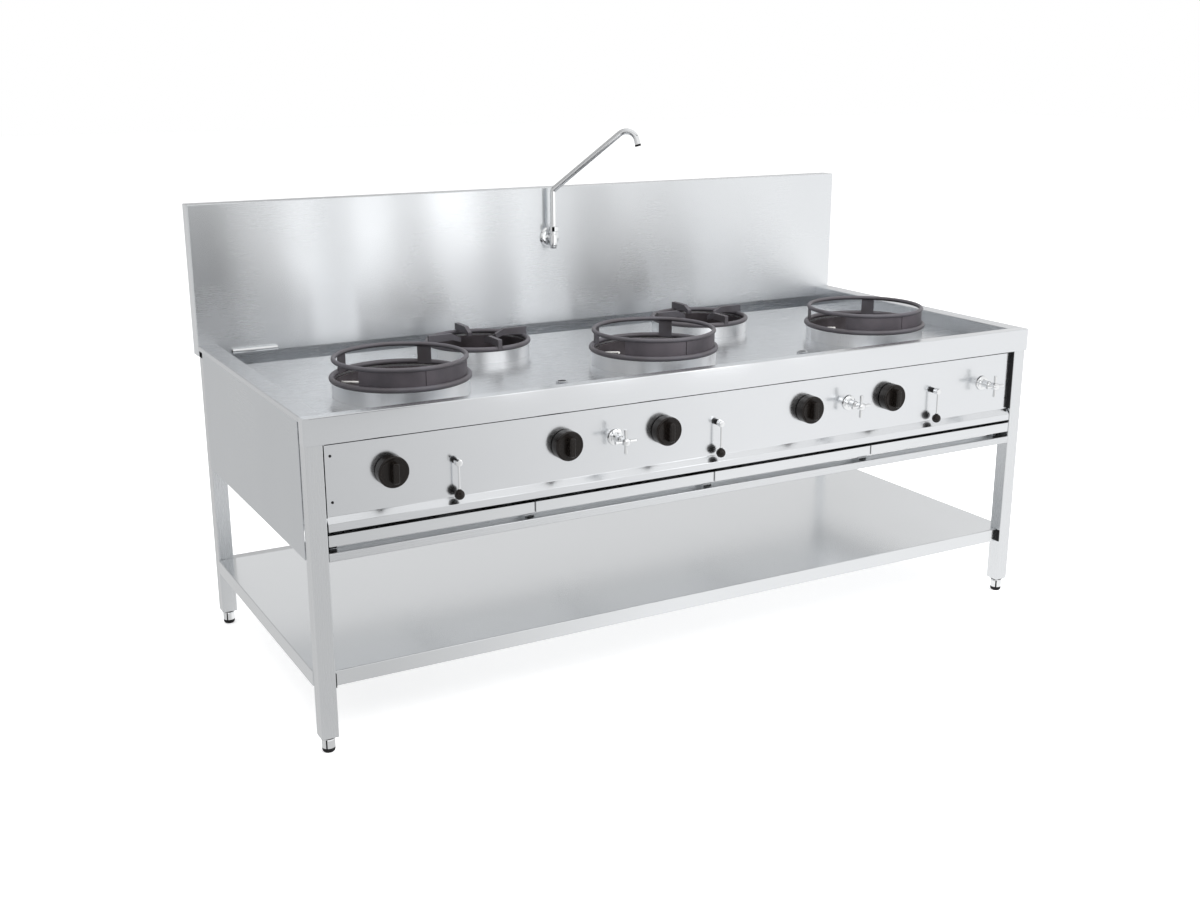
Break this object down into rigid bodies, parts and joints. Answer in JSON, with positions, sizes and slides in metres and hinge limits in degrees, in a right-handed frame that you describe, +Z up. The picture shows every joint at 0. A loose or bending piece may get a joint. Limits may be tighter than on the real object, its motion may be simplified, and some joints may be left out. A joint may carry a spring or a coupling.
{
  "type": "wok range",
  "caption": "Stainless wok range with ringed wok burners, pan burners, splashback, swing spout, knobs, levers, taps, drip trays and an undershelf.",
  "frame": {"origin": "centre of the footprint, on the floor", "axes": "+X along the front to the right as the cook sees it, +Y from the controls to the splashback, +Z up"},
  "size_m": [2.2, 1.0484, 1.39],
  "materials": {
    "brushed_steel": "fine brushed stainless sheet",
    "leg_steel": "satin stainless tube",
    "chrome": "polished chrome plate",
    "burner_iron": "dark cast iron, slightly rough",
    "ring_iron": "grey iron bar, dull",
    "brass": "machined brass",
    "knob_plastic": "black plastic, slight sheen"
  },
  "bodies": {
    "stand": {"front_apron": "brushed_steel", "side_rim_left": "brushed_steel", "side_rim_right": "brushed_steel", "deck_plate": "brushed_steel", "rear_gutter": "brushed_steel", "splashback": "brushed_steel", "leg_front_left": "leg_steel", "leg_rear_left": "leg_steel", "leg_front_right": "leg_steel", "leg_rear_right": "leg_steel", "front_rail": "leg_steel", "rear_rail": "leg_steel", "side_rail_left": "leg_steel", "side_rail_right": "leg_steel", "side_panel_left": "brushed_steel", "side_panel_right": "brushed_steel", "back_panel": "brushed_steel", "undershelf": "brushed_steel", "tray_runners": "leg_steel", "control_panel": "brushed_steel", "wok_collar_left": "brushed_steel", "wok_burner_left": "burner_iron", "wok_collar_middle": "brushed_steel", "wok_burner_middle": "burner_iron", "wok_collar_right": "brushed_steel", "wok_burner_right": "burner_iron", "pan_collar_left": "brushed_steel", "pan_burner_left": "burner_iron", "pan_collar_right": "brushed_steel", "pan_burner_right": "burner_iron", "gas_manifold": "brass", "water_manifold": "brass", "faucet_body": "chrome", "faucet_nut": "chrome", "rinse_pipe": "chrome"},
    "foot_front_left": {"foot_front_left": "chrome"},
    "foot_rear_left": {"foot_rear_left": "chrome"},
    "foot_front_right": {"foot_front_right": "chrome"},
    "foot_rear_right": {"foot_rear_right": "chrome"},
    "drip_tray_1": {"drip_tray_1": "brushed_steel"},
    "drip_tray_2": {"drip_tray_2": "brushed_steel"},
    "drip_tray_3": {"drip_tray_3": "brushed_steel"},
    "drip_tray_4": {"drip_tray_4": "brushed_steel"},
    "wok_ring_left": {"wok_ring_left": "ring_iron"},
    "wok_ring_middle": {"wok_ring_middle": "ring_iron"},
    "wok_ring_right": {"wok_ring_right": "ring_iron"},
    "pan_support_left": {"pan_support_left": "ring_iron"},
    "pan_support_right": {"pan_support_right": "ring_iron"},
    "faucet_spout": {"faucet_spout": "chrome"},
    "wok_knob_left": {"wok_knob_left": "knob_plastic"},
    "gas_lever_left": {"gas_lever_left": "chrome"},
    "tap_handle_left": {"tap_handle_left": "chrome"},
    "wok_knob_middle": {"wok_knob_middle": "knob_plastic"},
    "gas_lever_middle": {"gas_lever_middle": "chrome"},
    "tap_handle_middle": {"tap_handle_middle": "chrome"},
    "wok_knob_right": {"wok_knob_right": "knob_plastic"},
    "gas_lever_right": {"gas_lever_right": "chrome"},
    "tap_handle_right": {"tap_handle_right": "chrome"},
    "pan_knob_left": {"pan_knob_left": "knob_plastic"},
    "pan_knob_right": {"pan_knob_right": "knob_plastic"}
  },
  "joints": [
    {"name": "foot_front_left_level", "type": "slide", "parent": "stand", "child": "foot_front_left", "axis": [0, 0, -1], "range_m": [0, 0.015]},
    {"name": "foot_rear_left_level", "type": "slide", "parent": "stand", "child": "foot_rear_left", "axis": [0, 0, -1], "range_m": [0, 0.015]},
    {"name": "foot_front_right_level", "type": "slide", "parent": "stand", "child": "foot_front_right", "axis": [0, 0, -1], "range_m": [0, 0.015]},
    {"name": "foot_rear_right_level", "type": "slide", "parent": "stand", "child": "foot_rear_right", "axis": [0, 0, -1], "range_m": [0, 0.015]},
    {"name": "drip_tray_1_slide", "type": "slide", "parent": "stand", "child": "drip_tray_1", "axis": [0, -1, 0], "range_m": [0, 0.6]},
    {"name": "drip_tray_2_slide", "type": "slide", "parent": "stand", "child": "drip_tray_2", "axis": [0, -1, 0], "range_m": [0, 0.6]},
    {"name": "drip_tray_3_slide", "type": "slide", "parent": "stand", "child": "drip_tray_3", "axis": [0, -1, 0], "range_m": [0, 0.6]},
    {"name": "drip_tray_4_slide", "type": "slide", "parent": "stand", "child": "drip_tray_4", "axis": [0, -1, 0], "range_m": [0, 0.6]},
    {"name": "wok_ring_left_lift", "type": "slide", "parent": "stand", "child": "wok_ring_left", "axis": [0, 0, 1], "range_m": [0, 0.2]},
    {"name": "wok_ring_middle_lift", "type": "slide", "parent": "stand", "child": "wok_ring_middle", "axis": [0, 0, 1], "range_m": [0, 0.2]},
    {"name": "wok_ring_right_lift", "type": "slide", "parent": "stand", "child": "wok_ring_right", "axis": [0, 0, 1], "range_m": [0, 0.2]},
    {"name": "pan_support_left_lift", "type": "slide", "parent": "stand", "child": "pan_support_left", "axis": [0, 0, 1], "range_m": [0, 0.2]},
    {"name": "pan_support_right_lift", "type": "slide", "parent": "stand", "child": "pan_support_right", "axis": [0, 0, 1], "range_m": [0, 0.2]},
    {"name": "spout_swivel", "type": "hinge", "parent": "stand", "child": "faucet_spout", "pos_m": [0, 0.44215, 1.0803], "axis": [0, 0, 1], "range_deg": [-145, 35]},
    {"name": "wok_knob_left_turn", "type": "hinge", "parent": "stand", "child": "wok_knob_left", "pos_m": [-0.895, -0.4609, 0.676], "axis": [0, -1, 0], "range_deg": [0, 180]},
    {"name": "gas_lever_left_turn", "type": "hinge", "parent": "stand", "child": "gas_lever_left", "pos_m": [-0.732, -0.469, 0.675], "axis": [0, -1, 0], "range_deg": [0, 90]},
    {"name": "tap_handle_left_turn", "type": "hinge", "parent": "stand", "child": "tap_handle_left", "pos_m": [-0.295, -0.5022, 0.675], "axis": [0, -1, 0], "range_deg": [0, 90]},
    {"name": "wok_knob_middle_turn", "type": "hinge", "parent": "stand", "child": "wok_knob_middle", "pos_m": [-0.151, -0.4609, 0.676], "axis": [0, -1, 0], "range_deg": [0, 180]},
    {"name": "gas_lever_middle_turn", "type": "hinge", "parent": "stand", "child": "gas_lever_middle", "pos_m": [0.012, -0.469, 0.675], "axis": [0, -1, 0], "range_deg": [0, 90]},
    {"name": "tap_handle_middle_turn", "type": "hinge", "parent": "stand", "child": "tap_handle_middle", "pos_m": [0.449, -0.5022, 0.675], "axis": [0, -1, 0], "range_deg": [0, 90]},
    {"name": "wok_knob_right_turn", "type": "hinge", "parent": "stand", "child": "wok_knob_right", "pos_m": [0.593, -0.4609, 0.676], "axis": [0, -1, 0], "range_deg": [0, 180]},
    {"name": "gas_lever_right_turn", "type": "hinge", "parent": "stand", "child": "gas_lever_right", "pos_m": [0.756, -0.469, 0.675], "axis": [0, -1, 0], "range_deg": [0, 90]},
    {"name": "tap_handle_right_turn", "type": "hinge", "parent": "stand", "child": "tap_handle_right", "pos_m": [0.944, -0.5022, 0.675], "axis": [0, -1, 0], "range_deg": [0, 90]},
    {"name": "pan_knob_left_turn", "type": "hinge", "parent": "stand", "child": "pan_knob_left", "pos_m": [-0.438, -0.4609, 0.676], "axis": [0, -1, 0], "range_deg": [0, 180]},
    {"name": "pan_knob_right_turn", "type": "hinge", "parent": "stand", "child": "pan_knob_right", "pos_m": [0.306, -0.4609, 0.676], "axis": [0, -1, 0], "range_deg": [0, 180]}
  ]
}
